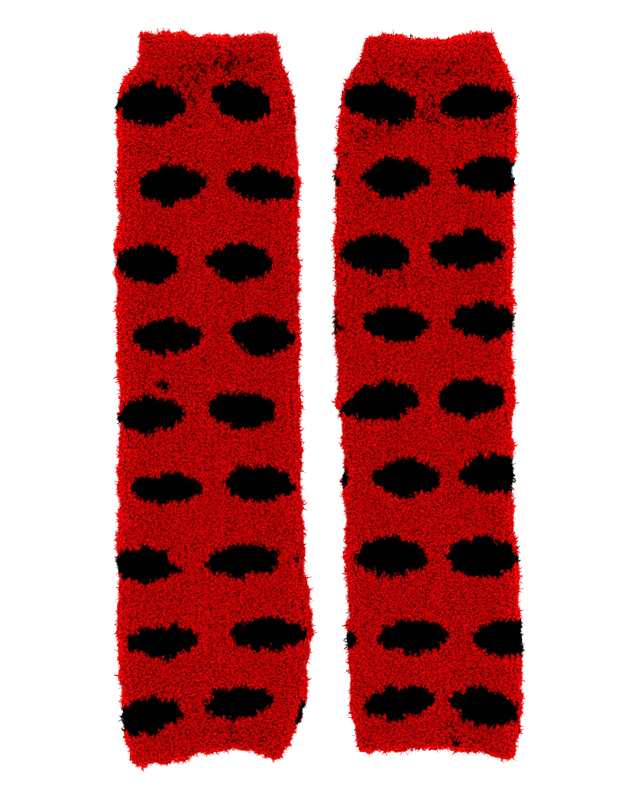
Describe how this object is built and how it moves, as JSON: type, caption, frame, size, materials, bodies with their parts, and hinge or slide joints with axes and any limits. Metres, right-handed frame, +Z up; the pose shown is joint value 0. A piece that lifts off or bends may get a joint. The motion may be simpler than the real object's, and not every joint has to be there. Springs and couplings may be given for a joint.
{
  "type": "pair of leg warmers",
  "caption": "Pair of fuzzy knitted tube leg warmers for a toddler, red with black oval dots, with elastic cuffs at both ends, laid flat side by side.",
  "frame": {"origin": "middle of the pair's box, on the plane that both leg warmers lie on", "axes": "+Y along the leg warmers towards their top cuffs, +X to the right of someone looking down with the top cuffs away from them, +Z up off the surface"},
  "size_m": [0.17, 0.3056, 0.0096],
  "materials": {
    "fuzzy_yarn": "matt fuzzy feather yarn, bright red with black oval dots"
  },
  "bodies": {
    "root": {"left_top_cuff": "fuzzy_yarn", "left_leg": "fuzzy_yarn", "left_bottom_cuff": "fuzzy_yarn", "right_top_cuff": "fuzzy_yarn", "right_leg": "fuzzy_yarn", "right_bottom_cuff": "fuzzy_yarn"}
  },
  "joints": []
}
